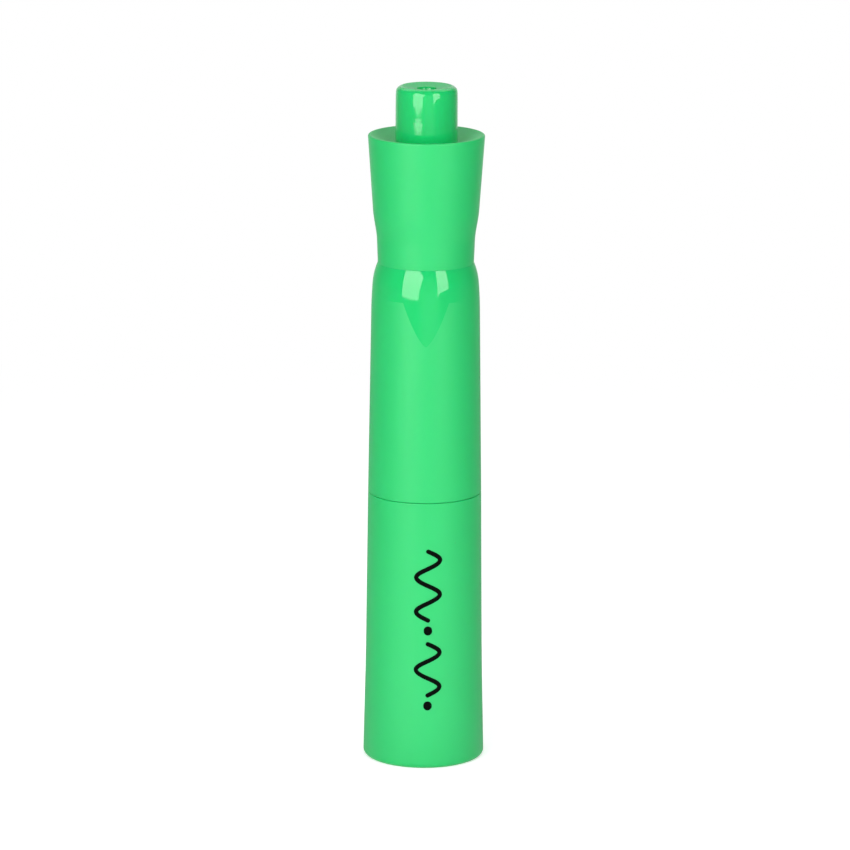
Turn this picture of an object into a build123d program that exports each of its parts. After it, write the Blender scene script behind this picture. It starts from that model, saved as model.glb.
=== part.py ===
from build123d import *
import os

# A stout desk highlighter that stands upright on its base, with a pull-off cap.
# Millimetres. +Z runs up the axis, the origin is in the middle of the base,
# and the printed front of the barrel faces -Y.

# Outside of the barrel
base_radius = 10.70
base_rounding = 0.80
flare_height = 17.5
flare_radius = 10.29
seam_radius = 9.96
seam_height = 48.0
seam_gap = 0.06
lip_rounding = 0.17
barrel_top = seam_height - seam_gap / 2

# Outside of the cap
cap_bottom = seam_height + seam_gap / 2
shoulder_start = (9.495, 80.5)
shoulder_middle = (9.28, 85.3)
neck_radius = 8.38
neck_height = 89.0
waist_radius = 8.54
waist_height = 93.0
crown_base_radius = 9.24
crown_base_height = 98.2
rim_radius = 10.17
rim_height = 111.5
rim_width = 0.52
rim_rounding = 0.30
funnel_depth = 2.35
tube_radius = 5.39
tube_foot_radius = 5.44
tube_draft_end = (5.385, 114.7)
tube_soft_start = (5.383, 117.0)
tube_soft_middle = (5.370, 118.2)
tube_edge_start = (5.330, 119.0)
tube_top = 120.0
dish_edge_radius = 4.30

# Barrel inside
mouth_radius = 8.20
mouth_depth = 15.0
collar_seat_radius = 8.90
collar_height = 1.0
bore_top_radius = 8.45
bore_base_radius = 8.80
plug_seat_radius = 9.00
plug_seat_height = 7.5
step_run = 0.8
rib_count = 6
rib_thickness = 0.9
rib_bottom = 9.0
rib_top = 31.0
rib_root = 0.5

# Play between pieces that are pressed together, per side
press_play = 0.02

# End plug
plug_recess = 0.6
plug_floor = 1.6
plug_skirt_wall = 1.2
plug_skirt_top = 7.0
plug_dimple_radius = 2.0
plug_dimple_depth = 0.4
plug_fin_count = 4
plug_fin_thickness = 1.0
plug_fin_inner = 0.6
plug_fin_outer = 6.0

# Fibre reservoir, its film and its breather tube
reservoir_bottom = 5.8
reservoir_top = 75.0
reservoir_radius = 6.50
film_play = 0.05
film_thickness = 0.20
breather_radius = 0.80
breather_bore_radius = 0.45
breather_offset = 5.65
breather_groove_play = 0.05
breather_bottom = 8.0
breather_top = 74.0

# Front section
store_radius = 6.90
seat_radius = 8.00
seat_top = 60.0
click_bead_height = 56.0
click_bead_rise = 0.18
click_bead_length = 2.6
body_end_radius = 7.75
body_end_height = 76.0
nose_base_radius = 5.40
nose_base_height = 80.5
land_radius = 4.50
land_bottom = 88.0
nose_top = 96.0
nose_bore_radius = 3.50
nose_bore_bottom = 82.0
store_top = 76.6
section_rounding = 1.2
nose_top_rounding = 0.4

# Nib and its holder
nib_width = 5.0
nib_thickness = 3.6
nib_corner = 0.8
nib_tail = 68.0
nib_tip = 104.0
nib_slant = 2.7
nib_bevel_height = 4.2
nib_blade = 1.7
nib_play = 0.02
holder_bottom = 83.0
holder_flange_radius = 4.05
holder_flange_height = 0.7
holder_groove_count = 4
holder_groove_width = 0.7
holder_groove_depth = 0.35

# Cap inside
cap_bore_radius = 8.30
cap_bore_step = 58.5
cap_upper_bore_radius = 8.15
socket_radius = 7.37
socket_bottom = 82.0
spigot_wall = 0.95
crown_floor = 1.5
seal_tube_bottom = 90.0
seal_tube_inner_radius = 4.60
seal_tube_lead_in = 0.45
seal_tube_end = 1.3
seal_flange_radius = 6.25
seal_flange_height = 1.2
dish_depth = 0.45
dimple_radius = 1.7
dimple_depth = 1.15
dimple_rounding = 1.00


def turned(outline):
    """Turn a closed outline, drawn as radius against height, about the Z axis."""
    return revolve(Plane.XZ * make_face(outline), Axis.Z)


def ring_edge(solid, radius, height):
    """The circular edge of a turned piece that lies nearest a radius and height."""
    rings = solid.edges().filter_by(GeomType.CIRCLE)
    return rings.sort_by(lambda ring: abs(ring.radius - radius) + abs(ring.arc_center.Z - height))[0]


def rounded(solid, radius, height, size):
    """Round the ring edge at a radius and height."""
    return fillet(ring_edge(solid, radius, height), size)


def spokes(count, inner, outer, thickness, bottom, top):
    """Flat radial blades, evenly spaced about the axis."""
    blade = Box(outer - inner, thickness, top - bottom, align=(Align.MIN, Align.CENTER, Align.MIN))
    blades = [Rot(0, 0, 360 * turn / count) * Pos(inner, 0, bottom) * blade for turn in range(count)]
    return blades


def nib_bar(play, bottom, top):
    """The nib's straight bar, or with play the pocket that takes it."""
    section = RectangleRounded(nib_width + 2 * play, nib_thickness + 2 * play, nib_corner + play)
    return Pos(0, 0, bottom) * extrude(section, top - bottom)


def make_barrel():
    """Flared tube, open at both ends, with ribs inside that centre the reservoir."""
    collar_floor = barrel_top - collar_height
    mouth_floor = barrel_top - mouth_depth
    outline = Polyline(
        (plug_seat_radius, 0),
        (base_radius, 0),
        (flare_radius, flare_height),
        (seam_radius, barrel_top),
        (collar_seat_radius, barrel_top),
        (collar_seat_radius, collar_floor),
        (mouth_radius, collar_floor),
        (mouth_radius, mouth_floor),
        (bore_top_radius, mouth_floor - step_run),
        (bore_base_radius, plug_seat_height + step_run),
        (plug_seat_radius, plug_seat_height),
        close=True,
    )
    barrel = turned(outline)
    barrel = rounded(barrel, base_radius, 0, base_rounding)
    barrel = rounded(barrel, seam_radius, barrel_top, lip_rounding)
    rib_inner = reservoir_radius + film_play + film_thickness + film_play
    rib_outer = bore_base_radius + rib_root
    for rib in spokes(rib_count, rib_inner, rib_outer, rib_thickness, rib_bottom, rib_top):
        barrel += rib
    return barrel


def make_end_plug():
    """Cup pressed into the base, with fins that the reservoir stands on."""
    radius = plug_seat_radius - press_play
    skirt_inner = radius - plug_skirt_wall
    floor_top = plug_recess + plug_floor
    outline = Polyline(
        (0, plug_recess + plug_dimple_depth),
        (plug_dimple_radius, plug_recess + plug_dimple_depth),
        (plug_dimple_radius, plug_recess),
        (radius, plug_recess),
        (radius, plug_skirt_top),
        (skirt_inner, plug_skirt_top),
        (skirt_inner, floor_top),
        (0, floor_top),
        close=True,
    )
    plug = turned(outline)
    plug = rounded(plug, radius, plug_recess, lip_rounding)
    for fin in spokes(
        plug_fin_count, -plug_fin_inner, plug_fin_outer, plug_fin_thickness, floor_top, reservoir_bottom
    ):
        plug += fin
    return plug


def make_front_section():
    """Nose piece: spigot in the barrel, seat and click bead for the cap, shoulder and nose."""
    spigot_bottom = barrel_top - mouth_depth + step_run
    spigot_radius = mouth_radius - press_play
    collar_radius = collar_seat_radius - press_play
    bead_bottom = click_bead_height - click_bead_length / 2
    bead_top = click_bead_height + click_bead_length / 2
    outside = Polyline(
        (store_radius, spigot_bottom),
        (spigot_radius, spigot_bottom),
        (spigot_radius, barrel_top - collar_height),
        (collar_radius, barrel_top - collar_height),
        (collar_radius, barrel_top),
        (seat_radius, barrel_top),
        (seat_radius, bead_bottom),
    )
    bead = ThreePointArc(
        (seat_radius, bead_bottom),
        (seat_radius + click_bead_rise, click_bead_height),
        (seat_radius, bead_top),
    )
    rest = Polyline(
        (seat_radius, bead_top),
        (seat_radius, seat_top),
        (body_end_radius, body_end_height),
        (nose_base_radius, nose_base_height),
        (land_radius, land_bottom),
        (land_radius, nose_top),
        (nose_bore_radius, nose_top),
        (nose_bore_radius, nose_bore_bottom),
        (store_radius, store_top),
        (store_radius, spigot_bottom),
    )
    section = turned(outside + bead + rest)
    section = rounded(section, body_end_radius, body_end_height, section_rounding)
    section = rounded(section, nose_base_radius, nose_base_height, section_rounding)
    section = rounded(section, land_radius, nose_top, nose_top_rounding)
    return section


def make_nib_holder():
    """Collar that centres the nib in the nose, with air grooves down its outside."""
    radius = nose_bore_radius - press_play
    flange_top = nose_top + holder_flange_height
    outline = Polyline(
        (0, holder_bottom),
        (radius, holder_bottom),
        (radius, nose_top),
        (holder_flange_radius, nose_top),
        (holder_flange_radius, flange_top),
        (0, flange_top),
        close=True,
    )
    holder = turned(outline)
    holder = rounded(holder, holder_flange_radius, flange_top, lip_rounding)
    holder -= nib_bar(nib_play, holder_bottom, flange_top)
    groove_floor = radius - holder_groove_depth
    groove_outer = radius + holder_groove_depth
    for groove in spokes(
        holder_groove_count, groove_floor, groove_outer, holder_groove_width, holder_bottom, nose_top
    ):
        holder -= groove
    return holder


def make_chisel_nib():
    """Felt bar with a slanted chisel end."""
    half_width = nib_width / 2
    half_thickness = nib_thickness / 2
    half_blade = nib_blade / 2
    front = Polygon(
        (-half_width, nib_tail),
        (half_width, nib_tail),
        (half_width, nib_tip),
        (-half_width, nib_tip - nib_slant),
        align=None,
    )
    side = Polygon(
        (-half_thickness, nib_tail),
        (half_thickness, nib_tail),
        (half_thickness, nib_tip - nib_bevel_height),
        (half_blade, nib_tip),
        (-half_blade, nib_tip),
        (-half_thickness, nib_tip - nib_bevel_height),
        align=None,
    )
    front_block = extrude(Plane.XZ * front, nib_width, both=True)
    side_block = extrude(Plane.YZ * side, nib_width, both=True)
    return nib_bar(0, nib_tail, nib_tip) & front_block & side_block


def make_ink_reservoir():
    """Fibre rod with a pocket for the nib's tail and a groove for the breather tube."""
    reservoir = Pos(0, 0, reservoir_bottom) * Cylinder(
        reservoir_radius, reservoir_top - reservoir_bottom, align=(Align.CENTER, Align.CENTER, Align.MIN)
    )
    reservoir -= nib_bar(nib_play, nib_tail, reservoir_top)
    groove_radius = breather_radius + breather_groove_play
    groove_length = reservoir_top - breather_bottom
    round_bottom = Cylinder(groove_radius, groove_length, align=(Align.CENTER, Align.CENTER, Align.MIN))
    mouth = Box(
        2 * groove_radius, 2 * breather_radius, groove_length, align=(Align.CENTER, Align.MIN, Align.MIN)
    )
    reservoir -= Pos(0, breather_offset, breather_bottom) * (round_bottom + mouth)
    return reservoir


def make_reservoir_sleeve():
    """Film round the fibre rod, open at both ends."""
    inner = reservoir_radius + film_play
    outer = inner + film_thickness
    return turned(
        Polyline(
            (inner, reservoir_bottom),
            (outer, reservoir_bottom),
            (outer, reservoir_top),
            (inner, reservoir_top),
            close=True,
        )
    )


def make_breather_tube():
    """Thin air tube that lies in the reservoir's groove, on the rear side."""
    length = breather_top - breather_bottom
    outside = Cylinder(breather_radius, length, align=(Align.CENTER, Align.CENTER, Align.MIN))
    bore = Cylinder(breather_bore_radius, length, align=(Align.CENTER, Align.CENTER, Align.MIN))
    return Pos(0, breather_offset, breather_bottom) * (outside - bore)


def make_cap_sleeve():
    """Long sleeve of the cap, whose shoulder turns in ever more sharply up to the neck."""
    wall = Line((seam_radius, cap_bottom), shoulder_start)
    soft_turn = TangentArc(shoulder_start, shoulder_middle, tangent=wall % 1)
    hard_turn = TangentArc(shoulder_middle, (neck_radius, neck_height), tangent=soft_turn % 1)
    inside = Polyline(
        (neck_radius, neck_height),
        (socket_radius, neck_height),
        (socket_radius, socket_bottom),
        (cap_upper_bore_radius, socket_bottom - step_run),
        (cap_upper_bore_radius, cap_bore_step + step_run),
        (cap_bore_radius, cap_bore_step),
        (cap_bore_radius, cap_bottom),
        (seam_radius, cap_bottom),
    )
    sleeve = turned(wall + soft_turn + hard_turn + inside)
    sleeve = rounded(sleeve, seam_radius, cap_bottom, lip_rounding)
    sleeve = rounded(sleeve, cap_bore_radius, cap_bottom, lip_rounding)
    return sleeve


def make_cap_crown():
    """Waisted, flared top of the cap: spigot in the sleeve, funnel, and a bore for the tube."""
    spigot_radius = socket_radius - press_play
    spigot_inner = spigot_radius - spigot_wall
    bore_radius = tube_foot_radius + press_play
    funnel_low = rim_height - funnel_depth
    waist = Line((neck_radius, neck_height), (waist_radius, waist_height))
    cone = Line((crown_base_radius, crown_base_height), (rim_radius, rim_height))
    step = Spline(
        (waist_radius, waist_height),
        (crown_base_radius, crown_base_height),
        tangents=(waist % 1, cone % 0),
    )
    inside = Polyline(
        (rim_radius, rim_height),
        (rim_radius - rim_width, rim_height),
        (bore_radius, funnel_low),
        (bore_radius, funnel_low - crown_floor),
        (spigot_inner, funnel_low - crown_floor),
        (spigot_inner, socket_bottom),
        (spigot_radius, socket_bottom),
        (spigot_radius, neck_height),
        (neck_radius, neck_height),
    )
    crown = turned(waist + step + cone + inside)
    crown = rounded(crown, rim_radius, rim_height, rim_rounding)
    crown = rounded(crown, rim_radius - rim_width, rim_height, rim_rounding / 2)
    return crown


def make_cap_inner_tube():
    """Closed tube that seals round the nose and stands out of the crown, dished on top."""
    flange_top = rim_height - funnel_depth - crown_floor
    flange_bottom = flange_top - seal_flange_height
    chamber_top = tube_top - seal_tube_end - dish_depth - dimple_depth
    dish_low = tube_top - dish_depth
    inside = Polyline(
        (0, chamber_top),
        (seal_tube_inner_radius, chamber_top),
        (seal_tube_inner_radius, seal_tube_bottom + seal_tube_lead_in),
        (seal_tube_inner_radius + seal_tube_lead_in, seal_tube_bottom),
        (tube_radius, seal_tube_bottom),
        (tube_radius, flange_bottom),
        (seal_flange_radius, flange_bottom),
        (seal_flange_radius, flange_top),
        (tube_foot_radius, flange_top),
    )
    drafted_wall = Line((tube_foot_radius, flange_top), tube_draft_end)
    upright_wall = Line(tube_draft_end, tube_soft_start)
    soft_turn = TangentArc(tube_soft_start, tube_soft_middle, tangent=upright_wall % 1)
    firm_turn = TangentArc(tube_soft_middle, tube_edge_start, tangent=soft_turn % 1)
    edge = TangentArc(tube_edge_start, (dish_edge_radius, tube_top), tangent=firm_turn % 1)
    dish = Line((dish_edge_radius, tube_top), (dimple_radius, dish_low))
    dimple_low = dish_low - dimple_depth
    dimple_wall = Line((dimple_radius, dish_low), (dimple_radius, dimple_low + dimple_rounding))
    dimple_turn = TangentArc(
        (dimple_radius, dimple_low + dimple_rounding),
        (dimple_radius - dimple_rounding, dimple_low),
        tangent=(0, -1),
    )
    dimple_floor = Polyline((dimple_radius - dimple_rounding, dimple_low), (0, dimple_low), (0, chamber_top))
    outside = drafted_wall + upright_wall + soft_turn + firm_turn + edge
    dimple = dimple_wall + dimple_turn + dimple_floor
    return turned(inside + outside + dish + dimple)


makers = {
    "barrel": make_barrel,
    "end_plug": make_end_plug,
    "front_section": make_front_section,
    "nib_holder": make_nib_holder,
    "chisel_nib": make_chisel_nib,
    "ink_reservoir": make_ink_reservoir,
    "reservoir_sleeve": make_reservoir_sleeve,
    "breather_tube": make_breather_tube,
    "cap_sleeve": make_cap_sleeve,
    "cap_crown": make_cap_crown,
    "cap_inner_tube": make_cap_inner_tube,
}

os.makedirs("parts", exist_ok=True)
for node, make in makers.items():
    export_step(make(), f"parts/{node}.step")
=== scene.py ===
import math

import bmesh
import bpy
from mathutils import Matrix, Vector, geometry, noise


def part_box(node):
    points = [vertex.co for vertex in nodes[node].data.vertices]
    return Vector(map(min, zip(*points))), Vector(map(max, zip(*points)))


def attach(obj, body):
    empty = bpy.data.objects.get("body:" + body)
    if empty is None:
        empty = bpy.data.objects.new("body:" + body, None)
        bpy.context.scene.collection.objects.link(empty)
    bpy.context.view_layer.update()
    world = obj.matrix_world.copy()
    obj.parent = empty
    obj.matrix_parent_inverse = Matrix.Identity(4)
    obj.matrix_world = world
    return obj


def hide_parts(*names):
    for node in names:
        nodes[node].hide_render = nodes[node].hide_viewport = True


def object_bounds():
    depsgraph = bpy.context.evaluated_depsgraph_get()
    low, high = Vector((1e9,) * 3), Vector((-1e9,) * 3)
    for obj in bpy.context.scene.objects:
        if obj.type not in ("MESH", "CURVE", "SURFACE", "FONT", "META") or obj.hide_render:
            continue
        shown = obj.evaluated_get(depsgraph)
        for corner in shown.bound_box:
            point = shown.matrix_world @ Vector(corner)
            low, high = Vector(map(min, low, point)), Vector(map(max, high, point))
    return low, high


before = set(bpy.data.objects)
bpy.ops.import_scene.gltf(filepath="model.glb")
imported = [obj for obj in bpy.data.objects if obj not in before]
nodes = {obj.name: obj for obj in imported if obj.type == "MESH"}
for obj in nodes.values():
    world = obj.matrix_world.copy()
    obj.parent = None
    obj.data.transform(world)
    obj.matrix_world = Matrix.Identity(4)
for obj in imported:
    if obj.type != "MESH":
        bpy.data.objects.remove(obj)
cad_low, cad_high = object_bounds()

# A desk highlighter with a pull-off cap. Sizes are in millimetres, and an outline's
# points are a radius and a height. Blender's own objects are in metres.
MM = 0.001
height = cad_high.z

# How finely pieces are meshed
SEGMENTS = 240
LONGEST_STEP = 2.0
ARC_STEPS = 9
BEND_STEPS = 24
SUPPORT = 0.05
SHARP = math.radians(32)
ALMOST = 1e-7

# Outside of the barrel
BARREL_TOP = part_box("barrel")[1].z / MM
BASE_RADIUS = 10.70
BASE_ROUNDING = 0.80
FLARE = (10.29, 17.5)
SEAM_RADIUS = 9.96
LIP_ROUNDING = 0.17
SLIGHT_TURN = 400.0

# Inside of the barrel
MOUTH_RADIUS = 8.20
MOUTH_FLOOR = BARREL_TOP - 15.0
COLLAR_RADIUS = 8.90
COLLAR_FLOOR = BARREL_TOP - 1.0
BORE_TOP_RADIUS = 8.45
BORE_BASE_RADIUS = 8.80
PLUG_SEAT = (9.00, 7.5)
STEP_RUN = 0.8
PLAY = 0.02
RIB_COUNT = 6
RIB_THICKNESS = 0.9
RIB_INNER, RIB_OUTER = 6.80, 9.10
RIB_LOW, RIB_HIGH = 9.0, 31.0

# Cap
CAP_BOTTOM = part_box("cap_sleeve")[0].z / MM
SHOULDER_START = (9.495, 80.5)
SHOULDER_MIDDLE = (9.28, 85.3)
NECK = (8.38, 89.0)
NECK_ROUNDING = 0.06
WAIST = (8.54, 93.0)
CROWN_BASE = (9.24, 98.2)
RIM = (10.17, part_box("cap_crown")[1].z / MM)
RIM_WIDTH = 0.52
RIM_ROUNDING = 0.30
FUNNEL_LOW = 109.15
FUNNEL_FLOOR = 1.5
CAP_BORE_RADIUS = 8.30
CAP_BORE_STEP = 58.5
CAP_UPPER_BORE_RADIUS = 8.15
SOCKET = (7.37, 82.0)
SPIGOT_WALL = 0.95

# Inner tube of the cap
TUBE_FOOT_RADIUS = 5.44
TUBE_DRAFT_END = (5.385, 114.7)
TUBE_DRAFT_TURN = 100.0
TUBE_SOFT_START = (5.383, 117.0)
TUBE_SOFT_MIDDLE = (5.370, 118.2)
TUBE_EDGE_START = (5.330, 119.0)
TUBE_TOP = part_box("cap_inner_tube")[1].z / MM
DISH_EDGE_RADIUS = 4.30
DISH_EDGE_ROUNDING = 0.30
DISH_LOW = TUBE_TOP - 0.45
DIMPLE_RADIUS = 1.7
DIMPLE_DEPTH = 1.15
DIMPLE_ROUNDING = 1.00
DIMPLE_RIM_ROUNDING = 0.06
SEAL_RADIUS = 5.39
SEAL_INNER_RADIUS = 4.60
SEAL_BOTTOM = 90.0
SEAL_LEAD_IN = 0.45
SEAL_END = 1.3
SEAL_FLANGE_RADIUS = 6.25
SEAL_FLANGE_HEIGHT = 1.2

# Front section, seen once the cap is off
SECTION_BOTTOM, SECTION_TOP = (corner.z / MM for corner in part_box("front_section"))
STORE_RADIUS = 6.90
STORE_TOP = 76.6
SEAT_RADIUS = 8.00
SEAT_TOP = 60.0
SEAT_TURN = 60.0
BEAD_HEIGHT = 56.0
BEAD_RISE = 0.18
BEAD_LENGTH = 2.6
BEAD_ROUNDING = 0.4
BODY_END = (7.75, 76.0)
NOSE_BASE = (5.40, 80.5)
LAND = (4.50, 88.0)
LAND_TURN = 6.0
SECTION_ROUNDING = 1.2
NOSE_ROUNDING = 0.4
NOSE_BORE = (3.50, 82.0)

# Nib
NIB_WIDTH = 5.0
NIB_THICKNESS = 3.6
NIB_SQUARENESS = 6.0
NIB_TAIL, NIB_TIP = (corner.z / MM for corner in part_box("chisel_nib"))
NIB_SLANT = 2.7
NIB_BEVEL = 4.2
NIB_BLADE = 1.7
NIB_EDGE = 0.35
NIB_FREE = 97.0
NIB_FUZZ = 0.05
FUZZ_SEED = 3
FUZZ_LUMPS = 2.2
FUZZ_STRETCH = 0.3

# Printed mark on the front of the barrel: two wavy lines that run down it, a dot under each
INK_CENTRE = 0.7
INK_LINE = 0.80
INK_SWING = 2.1
INK_WAVE = 6.2
INK_WAVES = ((39.4, 2.0), (22.7, 1.5))
INK_DOT = 1.5
INK_DOT_DROP = 1.9
INK_RISE = 0.03
INK_ROOT = 0.02


# ---------------------------------------------------------------- shader helpers


class Tree:
    """A node tree being built. Each method adds one node and returns its output."""

    def __init__(self, tree):
        self.tree = tree
        self.tree.nodes.clear()

    def node(self, kind, *values, **settings):
        """Add a node, with some settings, and feed its first inputs."""
        node = self.tree.nodes.new("ShaderNode" + kind)
        for name, value in settings.items():
            setattr(node, name, value)
        for socket, value in zip(node.inputs, values):
            self.feed(socket, value)
        return node

    def feed(self, socket, value):
        """Set a socket to a number or colour, or link it to another node's output."""
        if isinstance(value, bpy.types.NodeSocket):
            self.tree.links.new(value, socket)
        elif socket.type == "RGBA" and len(value) == 3:
            socket.default_value = (*value, 1)
        else:
            socket.default_value = value

    def math(self, operation, *values, clamp=False):
        return self.node("Math", *values, operation=operation, use_clamp=clamp).outputs[0]

    def product(self, first, *others):
        """All the values multiplied."""
        for other in others:
            first = self.math("MULTIPLY", first, other)
        return first

    def step(self, value, low, high):
        """0 at low and 1 at high, with a soft rise between them. Low may be the higher number."""
        return self.node("MapRange", value, low, high, interpolation_type="SMOOTHSTEP").outputs["Result"]

    def blend(self, share, low, high):
        """A number that goes from low to high as share goes from 0 to 1."""
        return self.node("MapRange", share, 0.0, 1.0, low, high).outputs["Result"]

    def mix(self, share, first, second):
        """A colour between two colours."""
        node = self.node("Mix", share, data_type="RGBA")
        self.feed(node.inputs[6], first)
        self.feed(node.inputs[7], second)
        return node.outputs[2]

    def split(self, vector):
        return self.node("SeparateXYZ", vector).outputs

    def join(self, x, y, z):
        return self.node("CombineXYZ", x, y, z).outputs[0]

    def length(self, x, y):
        """How far a point is from the axis."""
        return self.math("SQRT", self.math("ADD", self.product(x, x), self.product(y, y)))


class Shader(Tree):
    """A material with one Principled surface."""

    def __init__(self, name):
        self.material = bpy.data.materials.new(name)
        self.material.use_nodes = True
        super().__init__(self.material.node_tree)
        self.surface = self.node("BsdfPrincipled")
        output = self.node("OutputMaterial")
        self.feed(output.inputs["Surface"], self.surface.outputs["BSDF"])

    def set(self, **inputs):
        """Set the surface's inputs by name, with _ for a space."""
        for name, value in inputs.items():
            self.feed(self.surface.inputs[name.replace("_", " ")], value)
        return self.material

    def place(self):
        """The point being shaded, in the row frame at rest, in millimetres."""
        coordinates = self.tree.nodes.new("ShaderNodeTexCoord").outputs["Object"]
        scaled = self.node("VectorMath", coordinates, operation="SCALE")
        scaled.inputs["Scale"].default_value = 1 / MM
        return scaled.outputs[0]

    def noise(self, vector, size, detail=2.0, roughness=0.5):
        """Smooth noise from 0 to 1, whose lumps are about size millimetres across."""
        node = self.node("TexNoise", vector)
        node.inputs["Scale"].default_value = 1 / size
        node.inputs["Detail"].default_value = detail
        node.inputs["Roughness"].default_value = roughness
        return node.outputs[0]

    def cells(self, vector, size):
        """Distance to the nearest of scattered points, in units of size millimetres."""
        node = self.node("TexVoronoi", vector)
        node.inputs["Scale"].default_value = 1 / size
        return node.outputs["Distance"]

    def bump(self, relief, depth):
        """Normals for a relief from 0 to 1 that stands depth metres high."""
        node = self.node("Bump")
        self.feed(node.inputs["Height"], relief)
        self.feed(node.inputs["Distance"], depth)
        return node.outputs[0]

    def around(self, x, y):
        """The angle round the axis in degrees, 0 at the front and growing to the right."""
        return self.product(self.math("ARCTAN2", x, self.product(y, -1.0)), 180 / math.pi)


# ---------------------------------------------------------------- materials

GREEN = (0.009, 0.505, 0.132)
GREEN_DEEP = (0.007, 0.468, 0.116)
GREEN_SPECK = (0.05, 0.16, 0.05)
SATIN_ROUGHNESS = (0.36, 0.46)
GRAIN_DEPTH = 0.0035 * MM
PLASTIC_IOR = 1.53
POLISHED_ROUGHNESS = 0.04
HALF_POLISHED = 0.48
FELT_GREEN = (0.12, 0.78, 0.16)
FELT_DARK = (0.03, 0.50, 0.07)
STORE_GREEN = (0.10, 0.70, 0.15)
STORE_DARK = (0.03, 0.45, 0.07)
NATURAL_HOLDER = (0.82, 0.84, 0.80)
NATURAL_FILM = (0.86, 0.90, 0.86)
NATURAL_BREATHER = (0.84, 0.84, 0.80)
INK = (0.0012, 0.003, 0.0016)
INK_DEEP = (0.0004, 0.001, 0.0006)
PAPER_LOW = (0.82, 0.82, 0.82)
PAPER_HIGH = (0.86, 0.86, 0.86)
PAPER_TO_OBJECT = (0.6, 0.6, 0.6)
BLACK = (0.0, 0.0, 0.0)
WHITE = (1.0, 1.0, 1.0)


def green_plastic(name, polished=None, wear=None):
    """Pigmented polypropylene: spark-eroded satin, with polished and worn places given by masks."""
    cloud_size, cloud_share = 9.0, 0.7
    streak_size, streak_stretch, streak_share = 1.6, 0.12, 0.3
    speck_spacing, speck_strength, speck_core, speck_edge = 6.5, 0.6, 0.011, 0.017
    grain_size, pit_size, pit_share = 0.11, 0.16, 0.35
    hair_size, hair_stretch, hair_cover, hair_depth = 0.09, 0.02, (0.66, 0.72), 0.6
    scuff_size, scuff_cover, smudge_size = 6.0, (0.52, 0.66), 4.5
    scuff_shine, wear_shine = 0.08, 0.10
    shader = Shader(name)
    place = shader.place()
    x, y, z = shader.split(place)
    angle = shader.around(x, y)

    cloud = shader.noise(place, cloud_size, detail=3.0, roughness=0.6)
    streak = shader.noise(shader.join(x, y, shader.product(z, streak_stretch)), streak_size)
    tint = shader.math("ADD", shader.product(cloud, cloud_share), shader.product(streak, streak_share))
    colour = shader.mix(tint, GREEN_DEEP, GREEN)
    speck = shader.step(shader.cells(place, speck_spacing), speck_edge, speck_core)
    colour = shader.mix(shader.product(speck, speck_strength), colour, GREEN_SPECK)

    grain = shader.noise(place, grain_size, detail=3.0, roughness=0.6)
    pits = shader.cells(place, pit_size)
    erosion = shader.math("ADD", grain, shader.product(pits, pit_share))
    hair_place = shader.join(shader.product(angle, hair_stretch), 0.0, z)
    hair = shader.step(shader.noise(hair_place, hair_size, detail=1.0), *hair_cover)
    scuffed = shader.product(hair, shader.step(shader.noise(place, scuff_size), *scuff_cover))
    relief = shader.math("SUBTRACT", erosion, shader.product(scuffed, hair_depth))

    smudge = shader.noise(place, smudge_size, detail=4.0, roughness=0.65)
    rubbed = shader.product(scuffed, scuff_shine)
    if wear is not None:
        rubbed = shader.math("ADD", rubbed, shader.product(wear(shader, place), wear_shine))
    roughness = shader.math("SUBTRACT", shader.blend(smudge, *SATIN_ROUGHNESS), rubbed)
    if polished is not None:
        polish = polished(shader, place)
        shader.set(
            Specular_IOR_Level=shader.blend(polish, 0.5, 0.0),
            Coat_Weight=polish,
            Coat_Roughness=POLISHED_ROUGHNESS,
            Coat_IOR=PLASTIC_IOR,
        )
    return shader.set(
        Base_Color=colour,
        Roughness=roughness,
        Normal=shader.bump(relief, GRAIN_DEPTH),
        IOR=PLASTIC_IOR,
        Subsurface_Weight=0.25,
        Subsurface_Radius=(0.25, 1.2, 0.4),
        Subsurface_Scale=MM,
    )


def shield(shader, place):
    """The polished front of the shoulder: a band that fades out to its sides, over a pointed tongue."""
    tongue_middle, tongue_half = 0.5, 25.0
    band_low, tongue_low = 83.4, 75.8
    tongue_curve = 1.4
    front_edge, side_edge = 0.06, 2.0
    left_fade, right_fade = (-66.0, -36.0), (54.0, 30.0)
    x, y, z = shader.split(place)
    angle = shader.around(x, y)
    aside = shader.math("ABSOLUTE", shader.math("SUBTRACT", angle, tongue_middle))
    spread = shader.math("MINIMUM", shader.math("DIVIDE", aside, tongue_half), 1.0)
    low = shader.blend(shader.math("POWER", spread, tongue_curve), tongue_low, band_low)
    front = shader.product(shader.step(angle, *left_fade), shader.step(angle, *right_fade))
    edge = shader.blend(front, side_edge, front_edge)
    above = shader.step(shader.math("SUBTRACT", z, low), shader.product(edge, -1.0), edge)
    return shader.product(above, front)


def all_but_dish(shader, place):
    """The tube is polished, less so round its sides and back, but on its dished end only the dimple is."""
    end_levels = TUBE_TOP - 0.9, TUBE_TOP - 0.8
    dimple_edge = DIMPLE_RADIUS - 0.02, DIMPLE_RADIUS + 0.04
    dish_edge = DISH_EDGE_RADIUS + 0.06, DISH_EDGE_RADIUS - 0.04
    wall_radii, side_angles = (4.7, 5.2), (45.0, 75.0)
    x, y, z = shader.split(place)
    radius = shader.length(x, y)
    aside = shader.math("ABSOLUTE", shader.around(x, y))
    on_end = shader.step(z, *end_levels)
    off_dimple = shader.step(radius, *dimple_edge)
    off_edge = shader.step(radius, *dish_edge)
    turned_away = shader.step(aside, *side_angles)
    dulled = shader.product(turned_away, shader.step(radius, *wall_radii), 1 - HALF_POLISHED)
    satin = shader.math("MAXIMUM", shader.product(on_end, off_dimple, off_edge), dulled)
    return shader.math("SUBTRACT", 1.0, satin)


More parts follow.
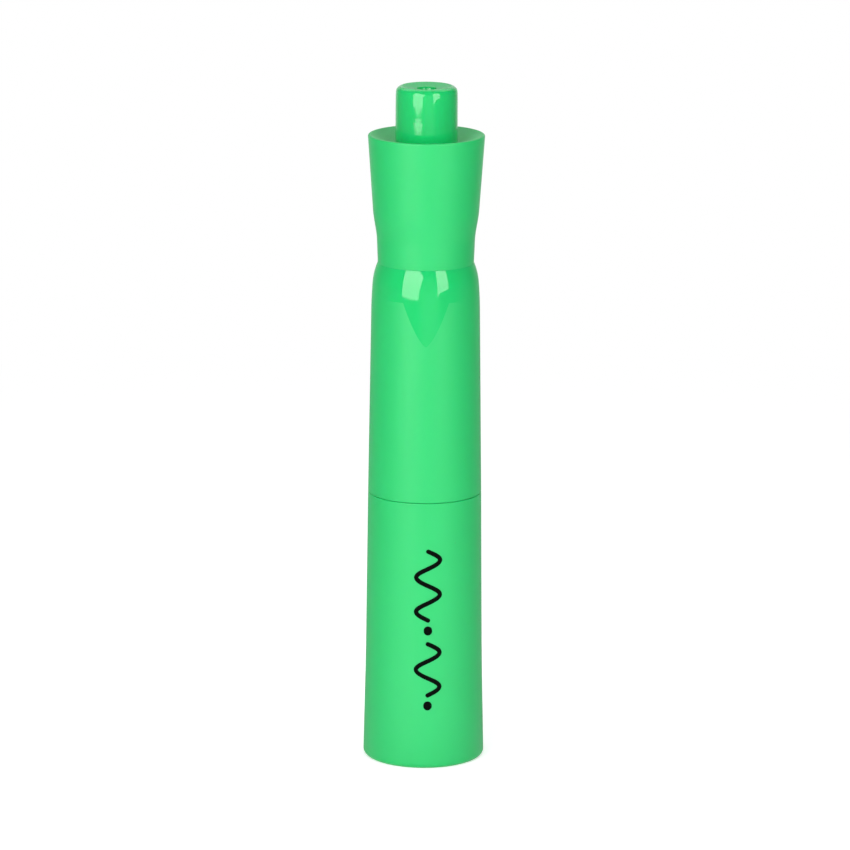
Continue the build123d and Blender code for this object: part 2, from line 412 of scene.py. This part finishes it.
def foot_wear(shader, place):
    """The foot's edge is rubbed smoother by the desk."""
    worn_from, worn_to = 1.2, 0.2
    return shader.step(shader.split(place)[2], worn_from, worn_to)


def felt(name, colour, dark, fibre_size):
    """Bonded fibre soaked with ink: fine upright fibres, pores and darker wet patches."""
    fibre_stretch, pore_size, pore_depth, wet_size = 0.08, fibre_size * 2.4, 0.4, 2.5
    fibre_share, wet_share, roughness_range = 0.7, 0.45, (0.62, 0.88)
    relief_depth = 0.05 * MM
    shader = Shader(name)
    place = shader.place()
    x, y, z = shader.split(place)
    along = shader.join(x, y, shader.product(z, fibre_stretch))
    fibres = shader.noise(along, fibre_size, detail=3.0, roughness=0.65)
    pores = shader.cells(place, pore_size)
    wet = shader.noise(place, wet_size)
    shade = shader.math("ADD", shader.product(fibres, fibre_share), shader.product(wet, wet_share))
    relief = shader.math("ADD", fibres, shader.product(pores, pore_depth))
    return shader.set(
        Base_Color=shader.mix(shade, dark, colour),
        Roughness=shader.blend(wet, *roughness_range),
        Normal=shader.bump(relief, relief_depth),
        IOR=1.45,
        Sheen_Weight=0.15,
        Sheen_Roughness=0.5,
        Subsurface_Weight=0.2,
        Subsurface_Radius=(0.3, 0.8, 0.3),
        Subsurface_Scale=MM,
    )


def natural_plastic(name, colour, clear=0.0):
    """Unpigmented milky plastic with faint flow marks."""
    flow_size, flow_shade, fine_size, fine_depth = 2.2, 0.88, 0.15, 0.003 * MM
    roughness_range = 0.32, 0.45
    shader = Shader(name)
    place = shader.place()
    flow = shader.noise(place, flow_size, detail=3.0)
    fine = shader.noise(place, fine_size)
    shaded = tuple(part * flow_shade for part in colour)
    return shader.set(
        Base_Color=shader.mix(flow, shaded, colour),
        Roughness=shader.blend(flow, *roughness_range),
        Normal=shader.bump(fine, fine_depth),
        IOR=1.5,
        Transmission_Weight=clear,
        Subsurface_Weight=0.3,
        Subsurface_Radius=(1.0, 1.0, 0.9),
        Subsurface_Scale=MM,
    )


def print_ink(name):
    """Black screen ink: thin, matt and faintly mottled."""
    mottle_size, fine_size, fine_depth = 0.35, 0.12, 0.004 * MM
    roughness_range = 0.42, 0.60
    shader = Shader(name)
    place = shader.place()
    mottle = shader.noise(place, mottle_size, detail=3.0, roughness=0.6)
    return shader.set(
        Base_Color=shader.mix(mottle, INK_DEEP, INK),
        Roughness=shader.blend(mottle, *roughness_range),
        Normal=shader.bump(shader.noise(place, fine_size), fine_depth),
        IOR=1.5,
        Specular_IOR_Level=0.03,
    )


def studio_floor(name):
    """Pale paper, which to the eye fades to white far away. To the object it is grey, with a glow in
    front of the object that stands for the light that a wide white sheet would throw back."""
    fade_from, fade_to = 30.0, 330.0
    glow_radii, glow_front = (170.0, 30.0), (20.0, -60.0)
    near_shine, far_shine = 0.45, 1.0
    far_glow, near_glow = 0.25, 1.0
    fibre_size = 1.2
    shader = Shader(name)
    place = shader.place()
    x, y, _ = shader.split(place)
    radius = shader.length(x, y)
    far = shader.step(radius, fade_from, fade_to)
    paper = shader.mix(shader.noise(place, fibre_size, detail=3.0), PAPER_LOW, PAPER_HIGH)
    seen = shader.node("LightPath").outputs["Is Camera Ray"]
    shown = shader.mix(far, paper, BLACK)
    toward_eye = shader.product(seen, shader.blend(far, near_shine, far_shine))
    near = shader.step(radius, *glow_radii)
    glow = shader.product(shader.step(y, *glow_front), shader.blend(near, far_glow, near_glow))
    toward_object = shader.product(shader.math("SUBTRACT", 1.0, seen), glow)
    return shader.set(
        Base_Color=shader.mix(seen, PAPER_TO_OBJECT, shown),
        Roughness=0.85,
        Specular_IOR_Level=0.0,
        Emission_Color=WHITE,
        Emission_Strength=shader.math("ADD", toward_eye, toward_object),
    )


# ---------------------------------------------------------------- mesh helpers


class Outline:
    """The outline of a turned piece, radius against height in millimetres, drawn point by point."""

    def __init__(self, radius, level):
        self.points = [Vector((radius, level))]
        self.roundings = [0.0]
        self.direction = None

    def add(self, point, rounding=0.0):
        self.points.append(point)
        self.roundings.append(rounding)

    def line(self, *corners):
        """Straight on to each corner, given as its radius, its height and any rounding of it."""
        for radius, level, *rounding in corners:
            point = Vector((radius, level))
            self.direction = (point - self.points[-1]).normalized()
            self.add(point, *rounding)
        return self

    def bend(self, radius, level, rounding=0.0, aim=None):
        """On along an arc that leaves in the present direction, or in the direction aim."""
        start, along = self.points[-1], Vector(aim) if aim else self.direction
        across = Vector((-along.y, along.x))
        chord = Vector((radius, level)) - start
        turn = 2 * math.atan2(chord.dot(across), chord.dot(along))
        size = chord.length / (2 * math.sin(turn / 2))
        for step in range(1, BEND_STEPS + 1):
            angle = turn * step / BEND_STEPS
            self.add(start + size * (math.sin(angle) * along + (1 - math.cos(angle)) * across))
        self.direction = math.cos(turn) * along + math.sin(turn) * across
        self.roundings[-1] = rounding
        return self

    def ease(self, radius, level, arriving):
        """On along a smooth curve that arrives in a given direction."""
        start, end = self.points[-1], Vector((radius, level))
        self.direction, leaving = Vector(arriving).normalized(), self.direction
        reach = (end - start).length / 3
        handles = start + leaving * reach, end - self.direction * reach
        for point in geometry.interpolate_bezier(start, *handles, end, BEND_STEPS + 1)[1:]:
            self.add(Vector(point[:2]))
        return self

    def open(self):
        """Whether it starts and ends on the axis, so that nothing closes it there."""
        return self.points[0].x < ALMOST and self.points[-1].x < ALMOST

    def corner(self, index):
        """The points of a rounded corner: its arc, with one more point beside it where there is room."""
        corner, size = self.points[index], self.roundings[index]
        before = self.points[index - 1] - corner
        after = self.points[(index + 1) % len(self.points)] - corner
        back, ahead = before.normalized(), after.normalized()
        half = back.angle(ahead) / 2
        reach = size / math.tan(half)
        centre = corner + (back + ahead).normalized() * size / math.sin(half)
        first, last = corner + back * reach - centre, corner + ahead * reach - centre
        arc = [centre + size * first.slerp(last, step / ARC_STEPS) for step in range(ARC_STEPS + 1)]
        if before.length > reach + 2 * SUPPORT:
            arc.insert(0, corner + back * (reach + SUPPORT))
        if after.length > reach + 2 * SUPPORT:
            arc.append(corner + ahead * (reach + SUPPORT))
        return arc

    def finished(self):
        """All the points, with corners rounded and long straights divided."""
        drawn = []
        for index, rounding in enumerate(self.roundings):
            drawn += self.corner(index) if rounding else [self.points[index]]
        following = drawn[1:] if self.open() else drawn[1:] + drawn[:1]
        divided = []
        for point, other in zip(drawn, following):
            parts = max(1, math.ceil((other - point).length / LONGEST_STEP))
            divided += [point.lerp(other, part / parts) for part in range(parts)]
        return divided + drawn[-1:] if self.open() else divided


def skin(shape, ring, other):
    """Add the faces between two rings of vertices, either of which may be one vertex on the axis."""
    for index in range(max(len(ring), len(other))):
        following = index + 1
        corners = (
            ring[index % len(ring)],
            ring[following % len(ring)],
            other[following % len(other)],
            other[index % len(other)],
        )
        shape.faces.new(dict.fromkeys(corners))


def turned(outline):
    """The mesh of an outline turned about the Z axis."""
    shape = bmesh.new()
    turns = [math.tau * index / SEGMENTS for index in range(SEGMENTS)]
    rings = []
    for radius, level in outline.finished():
        round_here = turns if radius > ALMOST else turns[:1]
        points = [Vector((radius * math.cos(turn), radius * math.sin(turn), level)) for turn in round_here]
        rings.append([shape.verts.new(point * MM) for point in points])
    for ring, other in zip(rings, rings[1:] if outline.open() else rings[1:] + rings[:1]):
        skin(shape, ring, other)
    return shape


def join_rings(shape, rings):
    """Add a skin over a row of rings of points, given in millimetres, with a lid on each end."""
    made = [[shape.verts.new(point * MM) for point in ring] for ring in rings]
    for ring, other in zip(made, made[1:]):
        skin(shape, ring, other)
    for lid in (made[0], made[-1]):
        shape.faces.new(lid)


def new_piece(name, shape, material, body, slot, *replaced):
    """Make a piece of a mesh, and say what it rides on, what it is made of and what it replaces."""
    bmesh.ops.recalc_face_normals(shape, faces=shape.faces)
    mesh = bpy.data.meshes.new(name)
    shape.to_mesh(mesh)
    shape.free()
    mesh.materials.append(material)
    mesh.shade_smooth()
    mesh.set_sharp_from_angle(angle=SHARP)
    piece = bpy.data.objects.new(name, mesh)
    bpy.context.scene.collection.objects.link(piece)
    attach(piece, body)
    if replaced:
        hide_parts(*replaced)


# ---------------------------------------------------------------- pieces


def barrel_shape():
    """Flared tube, open at both ends, with ribs inside that centre the reservoir."""
    outline = Outline(PLUG_SEAT[0], 0).line(
        (BASE_RADIUS, 0, BASE_ROUNDING),
        (*FLARE, SLIGHT_TURN),
        (SEAM_RADIUS, BARREL_TOP, LIP_ROUNDING),
        (COLLAR_RADIUS, BARREL_TOP),
        (COLLAR_RADIUS, COLLAR_FLOOR),
        (MOUTH_RADIUS, COLLAR_FLOOR),
        (MOUTH_RADIUS, MOUTH_FLOOR),
        (BORE_TOP_RADIUS, MOUTH_FLOOR - STEP_RUN),
        (BORE_BASE_RADIUS, PLUG_SEAT[1] + STEP_RUN),
        PLUG_SEAT,
    )
    shape = turned(outline)
    size = Vector((RIB_OUTER - RIB_INNER, RIB_THICKNESS, RIB_HIGH - RIB_LOW)) * MM
    middle = Vector((RIB_INNER + RIB_OUTER, 0, RIB_LOW + RIB_HIGH)) / 2 * MM
    for rib in range(RIB_COUNT):
        turn = Matrix.Rotation(math.tau * rib / RIB_COUNT, 4, "Z")
        block = turn @ Matrix.Translation(middle) @ Matrix.Diagonal((*size, 1))
        bmesh.ops.create_cube(shape, size=1, matrix=block)
    return shape


def front_section_shape():
    """Nose piece: spigot in the barrel, seat and click bead for the cap, shoulder and nose."""
    bead_half = BEAD_LENGTH / 2
    bead_slope = 2 * math.atan2(BEAD_RISE, bead_half)
    outline = Outline(STORE_RADIUS, SECTION_BOTTOM).line(
        (MOUTH_RADIUS - PLAY, SECTION_BOTTOM),
        (MOUTH_RADIUS - PLAY, COLLAR_FLOOR),
        (COLLAR_RADIUS - PLAY, COLLAR_FLOOR),
        (COLLAR_RADIUS - PLAY, BARREL_TOP),
        (SEAT_RADIUS, BARREL_TOP),
        (SEAT_RADIUS, BEAD_HEIGHT - bead_half, BEAD_ROUNDING),
    )
    outline.bend(
        SEAT_RADIUS,
        BEAD_HEIGHT + bead_half,
        rounding=BEAD_ROUNDING,
        aim=(math.sin(bead_slope), math.cos(bead_slope)),
    )
    outline.line(
        (SEAT_RADIUS, SEAT_TOP, SEAT_TURN),
        (*BODY_END, SECTION_ROUNDING),
        (*NOSE_BASE, SECTION_ROUNDING),
        (*LAND, LAND_TURN),
        (LAND[0], SECTION_TOP, NOSE_ROUNDING),
        (NOSE_BORE[0], SECTION_TOP),
        NOSE_BORE,
        (STORE_RADIUS, STORE_TOP),
    )
    return turned(outline)


def cap_sleeve_shape():
    """Long sleeve, whose shoulder turns in ever more sharply up to the neck."""
    outline = Outline(SOCKET[0], NECK[1]).line(
        SOCKET,
        (CAP_UPPER_BORE_RADIUS, SOCKET[1] - STEP_RUN),
        (CAP_UPPER_BORE_RADIUS, CAP_BORE_STEP + STEP_RUN),
        (CAP_BORE_RADIUS, CAP_BORE_STEP),
        (CAP_BORE_RADIUS, CAP_BOTTOM, LIP_ROUNDING),
        (SEAM_RADIUS, CAP_BOTTOM, LIP_ROUNDING),
        SHOULDER_START,
    )
    return turned(outline.bend(*SHOULDER_MIDDLE).bend(*NECK, rounding=NECK_ROUNDING))


def cap_crown_shape():
    """Waisted, flared top: spigot in the sleeve, funnel, and a bore for the inner tube."""
    spigot_radius = SOCKET[0] - PLAY
    spigot_inner = spigot_radius - SPIGOT_WALL
    bore_radius = TUBE_FOOT_RADIUS + PLAY
    floor_under = FUNNEL_LOW - FUNNEL_FLOOR
    outline = Outline(spigot_inner, SOCKET[1]).line(
        (spigot_radius, SOCKET[1]), (spigot_radius, NECK[1]), NECK, WAIST
    )
    outline.ease(*CROWN_BASE, arriving=Vector(RIM) - Vector(CROWN_BASE))
    outline.line(
        (*RIM, RIM_ROUNDING),
        (RIM[0] - RIM_WIDTH, RIM[1], RIM_ROUNDING),
        (bore_radius, FUNNEL_LOW),
        (bore_radius, floor_under),
        (spigot_inner, floor_under),
    )
    return turned(outline)


def cap_inner_tube_shape():
    """Closed tube that seals round the nose and stands out of the crown, dished on top."""
    flange_top = FUNNEL_LOW - FUNNEL_FLOOR
    flange_bottom = flange_top - SEAL_FLANGE_HEIGHT
    dimple_low = DISH_LOW - DIMPLE_DEPTH
    outline = Outline(0, dimple_low - SEAL_END).line(
        (SEAL_INNER_RADIUS, dimple_low - SEAL_END),
        (SEAL_INNER_RADIUS, SEAL_BOTTOM + SEAL_LEAD_IN),
        (SEAL_INNER_RADIUS + SEAL_LEAD_IN, SEAL_BOTTOM),
        (SEAL_RADIUS, SEAL_BOTTOM),
        (SEAL_RADIUS, flange_bottom),
        (SEAL_FLANGE_RADIUS, flange_bottom),
        (SEAL_FLANGE_RADIUS, flange_top),
        (TUBE_FOOT_RADIUS, flange_top),
        (*TUBE_DRAFT_END, TUBE_DRAFT_TURN),
        TUBE_SOFT_START,
    )
    outline.bend(*TUBE_SOFT_MIDDLE).bend(*TUBE_EDGE_START)
    outline.bend(DISH_EDGE_RADIUS, TUBE_TOP, rounding=DISH_EDGE_ROUNDING)
    outline.line(
        (DIMPLE_RADIUS, DISH_LOW, DIMPLE_RIM_ROUNDING),
        (DIMPLE_RADIUS, dimple_low, DIMPLE_ROUNDING),
        (0, dimple_low),
    )
    return turned(outline)


def nib_shape():
    """Felt bar whose end slants to one side and thins to a blade, with its edges worn soft."""
    around, free_rings, edge_rings, shrink_rings = 72, 36, 6, 8
    noise.seed_set(FUZZ_SEED)

    def ring(share, inset=0.0, rise=0.0, shrink=1.0):
        """The points at a share of the way from the bar's free part to its slanted end."""
        points = []
        for index in range(around):
            turn = math.tau * index / around
            cosine, sine = math.cos(turn), math.sin(turn)
            powers = abs(cosine) ** NIB_SQUARENESS + abs(sine) ** NIB_SQUARENESS
            fullness = powers ** (-1 / NIB_SQUARENESS)
            x = (NIB_WIDTH / 2 - inset) * cosine * fullness * shrink
            end = NIB_TIP - NIB_EDGE - NIB_SLANT * (0.5 - x / NIB_WIDTH)
            level = NIB_FREE + share * (end - NIB_FREE) + rise
            thinned = max(0.0, level - (NIB_TIP - NIB_BEVEL)) / NIB_BEVEL
            thickness = NIB_THICKNESS + thinned * (NIB_BLADE - NIB_THICKNESS)
            y = (thickness / 2 - inset) * sine * fullness * shrink
            point = Vector((x, y, level))
            fuzz = noise.noise_vector(Vector((x, y, level * FUZZ_STRETCH)) * FUZZ_LUMPS) * NIB_FUZZ
            points.append(point + fuzz * min(max(level - NIB_FREE, 0.0), 1.0))
        return points

    tail = (NIB_TAIL - NIB_FREE) / (NIB_TIP - NIB_FREE)
    rings = [ring(tail), ring(tail / 2)]
    rings += [ring(index / free_rings) for index in range(free_rings + 1)]
    for index in range(1, edge_rings + 1):
        turn = math.pi / 2 * index / edge_rings
        rings.append(ring(1, NIB_EDGE * (1 - math.cos(turn)), NIB_EDGE * math.sin(turn)))
    for index in range(1, shrink_rings):
        rings.append(ring(1, NIB_EDGE, NIB_EDGE, 1 - index / shrink_rings))
    shape = bmesh.new()
    join_rings(shape, rings)
    return shape


def barrel_radius(level):
    """The barrel's outer radius at a height."""
    low, high = ((BASE_RADIUS, 0), FLARE) if level < FLARE[1] else (FLARE, (SEAM_RADIUS, BARREL_TOP))
    return low[0] + (high[0] - low[0]) * (level - low[1]) / (high[1] - low[1])


def on_barrel(across, level, rise):
    """The point that lies a distance round from the front, at a height, and proud of the barrel."""
    radius = barrel_radius(level) + rise
    turn = across / radius
    return Vector((math.sin(turn) * radius, -math.cos(turn) * radius, level))


def ink_line(shape, path, width):
    """Add a round-ended line of ink along a path of points across and up the barrel."""
    half, cap_turns = width / 2, (80, 65, 50, 35, 18)
    half_section = ((1.0, -INK_ROOT), (1.0, INK_RISE / 3), (0.8, INK_RISE))
    section = [(-share, rise) for share, rise in half_section] + list(reversed(half_section))
    stations = []
    for index, point in enumerate(path):
        before, after = path[max(index - 1, 0)], path[min(index + 1, len(path) - 1)]
        stations.append((point, (after - before).normalized(), half))
    for end, way in ((0, -1), (-1, 1)):
        point, along, _ = stations[end]
        cap = [
            (point + along * way * half * math.sin(turn), along, half * math.cos(turn))
            for turn in map(math.radians, cap_turns)
        ]
        stations = cap + stations if end == 0 else stations + cap[::-1]
    rings = []
    for point, along, reach in stations:
        across = Vector((-along.y, along.x)) * reach
        rings.append([on_barrel(*(point + across * share), rise) for share, rise in section])
    join_rings(shape, rings)


def barrel_print_shape():
    """Two wavy ink lines, one above the other, each with a dot under it."""
    steps_per_wave = 32
    shape = bmesh.new()
    for top, waves in INK_WAVES:
        steps = round(waves * steps_per_wave)
        path = [
            Vector(
                (
                    INK_CENTRE + INK_SWING * math.sin(math.tau * step / steps_per_wave),
                    top - INK_WAVE * step / steps_per_wave,
                )
            )
            for step in range(steps + 1)
        ]
        ink_line(shape, path, INK_LINE)
        middle = Vector((INK_CENTRE, path[-1].y - INK_DOT_DROP))
        sliver = Vector((0, INK_DOT / 20))
        ink_line(shape, [middle + sliver, middle, middle - sliver], INK_DOT)
    return shape


# ---------------------------------------------------------------- assembly

carried = {
    "end_plug": green_plastic("plug_green"),
    "nib_holder": natural_plastic("holder_white", NATURAL_HOLDER),
    "ink_reservoir": felt("reservoir_fibre", STORE_GREEN, STORE_DARK, fibre_size=0.12),
    "reservoir_sleeve": natural_plastic("sleeve_film", NATURAL_FILM, clear=0.6),
    "breather_tube": natural_plastic("breather_white", NATURAL_BREATHER),
}
for node, material in carried.items():
    mesh = nodes[node].data
    mesh.materials.clear()
    mesh.materials.append(material)

barrel_green = green_plastic("barrel_green", wear=foot_wear)
section_green = green_plastic("section_green")
nib_felt = felt("nib_felt", FELT_GREEN, FELT_DARK, fibre_size=0.10)
ink_black = print_ink("ink_black")
cap_green = green_plastic("cap_green", polished=shield)
crown_green = green_plastic("crown_green")
tube_green = green_plastic("tube_green", polished=all_but_dish)

new_piece("barrel_shell", barrel_shape(), barrel_green, "pen", "barrel_plastic", "barrel")
new_piece(
    "front_section_shell", front_section_shape(), section_green, "pen", "section_plastic", "front_section"
)
new_piece("felt_nib", nib_shape(), nib_felt, "pen", "nib_felt", "chisel_nib")
new_piece("barrel_print", barrel_print_shape(), ink_black, "pen", "print_ink")
new_piece("cap_sleeve_shell", cap_sleeve_shape(), cap_green, "cap", "cap_plastic", "cap_sleeve")
new_piece("cap_crown_shell", cap_crown_shape(), crown_green, "cap", "crown_plastic", "cap_crown")
new_piece(
    "cap_inner_tube_shell", cap_inner_tube_shape(), tube_green, "cap", "polished_plastic", "cap_inner_tube"
)


# ---------------------------------------------------------------- studio

FLOOR_RADIUS = 0.42
FLOOR_SIDES = 128
FLOOR_LEVEL = -0.02 * MM
PANEL_DISTANCE = 0.41
PANEL_GRADIENT = (0.05, 0.28)
PANEL_TOP_GAIN = 1.15
# Each panel's name, the azimuth it is turned to, in degrees to the right of the front, its strength
# and its corners, each an azimuth and a height in metres
PANELS = (
    (
        "key_left",
        -31.0,
        4.6,
        ((-51, 0.048), (-14.5, 0.048), (-5.5, 0.28), (-15, 0.373), (-28, 0.50), (-51, 0.50)),
    ),
    ("key_right", 39.0, 4.5, ((25, 0.053), (50, 0.095), (52, 0.50), (25, 0.50))),
)
BACK_LIGHT_PLACE = (0, 0.5, 0.95)
BACK_LIGHT_SIZE = (1.6, 0.8)
BACK_LIGHT_ENERGY = 5.0
CAMERA_LENS, CAMERA_SENSOR = 209.3, 36
CAMERA_DISTANCE, CAMERA_LEVEL = 7.04 * height, 2.148 * height
CAMERA_PITCH, CAMERA_ROLL = math.radians(13.19), math.radians(0.3)


def add_floor():
    """A round sheet under the object."""
    bpy.ops.mesh.primitive_circle_add(
        vertices=FLOOR_SIDES, radius=FLOOR_RADIUS, fill_type="NGON", location=(0, 0, FLOOR_LEVEL)
    )
    floor = bpy.context.object
    floor.name = "floor"
    floor.data.materials.append(studio_floor("floor_paper"))


def add_panel(name, azimuth, strength, corners):
    """A glowing panel that faces the object from the front, a little brighter towards its top."""
    shape = bmesh.new()
    facing = math.radians(azimuth)
    middle = Vector((math.sin(facing), -math.cos(facing), 0)) * PANEL_DISTANCE
    aside = Vector((math.cos(facing), math.sin(facing), 0)) * PANEL_DISTANCE
    outline = []
    for angle, level in corners:
        across = math.tan(math.radians(angle) - facing)
        outline.append(shape.verts.new(middle + aside * across + Vector((0, 0, level))))
    shape.faces.new(outline)
    mesh = bpy.data.meshes.new(name)
    shape.to_mesh(mesh)
    shape.free()
    material = bpy.data.materials.new(name)
    material.use_nodes = True
    tree = Tree(material.node_tree)
    level = tree.split(tree.node("TexCoord").outputs["Object"])[2]
    gain = tree.blend(tree.step(level, *PANEL_GRADIENT), 1.0, PANEL_TOP_GAIN)
    glow = tree.node("Emission", WHITE, tree.product(gain, strength))
    tree.node("OutputMaterial", glow.outputs[0])
    mesh.materials.append(material)
    panel = bpy.data.objects.new(name, mesh)
    panel.visible_camera = False
    bpy.context.scene.collection.objects.link(panel)


def add_back_light():
    """A soft light high behind the object."""
    data = bpy.data.lights.new("back_high", "AREA")
    data.shape = "RECTANGLE"
    data.size, data.size_y = BACK_LIGHT_SIZE
    data.energy = BACK_LIGHT_ENERGY
    light = bpy.data.objects.new("back_high", data)
    place = Vector(BACK_LIGHT_PLACE)
    facing = (-place).to_track_quat("-Z", "Y").to_matrix().to_4x4()
    light.matrix_world = Matrix.Translation(place) @ facing
    light.visible_camera = False
    bpy.context.scene.collection.objects.link(light)


def add_world():
    """A soft room, brightest in front, between the panels and on the wall straight behind. The
    camera sees plain white instead."""
    room_low, room_high = 0.07, 0.23
    between_strength, wall_strength, table_strength = 0.38, 0.75, 0.12
    wall_top, table_rim = (0.75, 0.50), (0.0, -0.06)
    front, between, behind = (-0.35, -0.94, -1.0, 0.7), (0.15, -0.99, 0.88, 0.98), (0.0, 1.0, 0.60, 0.95)
    world = bpy.data.worlds.new("studio")
    bpy.context.scene.world = world
    world.use_nodes = True
    tree = Tree(world.node_tree)
    direction = tree.node("TexCoord").outputs["Generated"]
    rise = tree.split(direction)[2]

    def toward(x, y, low, high):
        """How nearly a direction is that of x and y: 0 for a cosine under low, 1 over high."""
        cosine = tree.node("VectorMath", direction, (x, y, 0.0), operation="DOT_PRODUCT").outputs["Value"]
        return tree.step(cosine, low, high)

    room = tree.blend(toward(*front), room_low, room_high)
    between_panels = tree.product(toward(*between), between_strength)
    wall_behind = tree.product(toward(*behind), tree.step(rise, *wall_top), wall_strength)
    table_edge = tree.product(tree.step(rise, *table_rim), table_strength)
    for term in (between_panels, wall_behind, table_edge):
        room = tree.math("ADD", room, term)
    light = tree.node("Background", WHITE, room)
    backdrop = tree.node("Background", WHITE, 1.0)
    seen = tree.node("LightPath").outputs["Is Camera Ray"]
    shown = tree.node("MixShader", seen, light.outputs[0], backdrop.outputs[0])
    tree.node("OutputWorld", shown.outputs[0])


def add_camera():
    """A long lens, a little above the cap, looking slightly down."""
    data = bpy.data.cameras.new("camera")
    data.lens = CAMERA_LENS
    data.sensor_width = CAMERA_SENSOR
    camera = bpy.data.objects.new("camera", data)
    look = Matrix.Rotation(math.pi / 2 - CAMERA_PITCH, 4, "X") @ Matrix.Rotation(CAMERA_ROLL, 4, "Z")
    camera.matrix_world = Matrix.Translation((0, -CAMERA_DISTANCE, CAMERA_LEVEL)) @ look
    bpy.context.scene.collection.objects.link(camera)
    bpy.context.scene.camera = camera


add_floor()
for panel_values in PANELS:
    add_panel(*panel_values)
add_back_light()
add_world()
add_camera()
bpy.context.scene.view_settings.view_transform = "Standard"
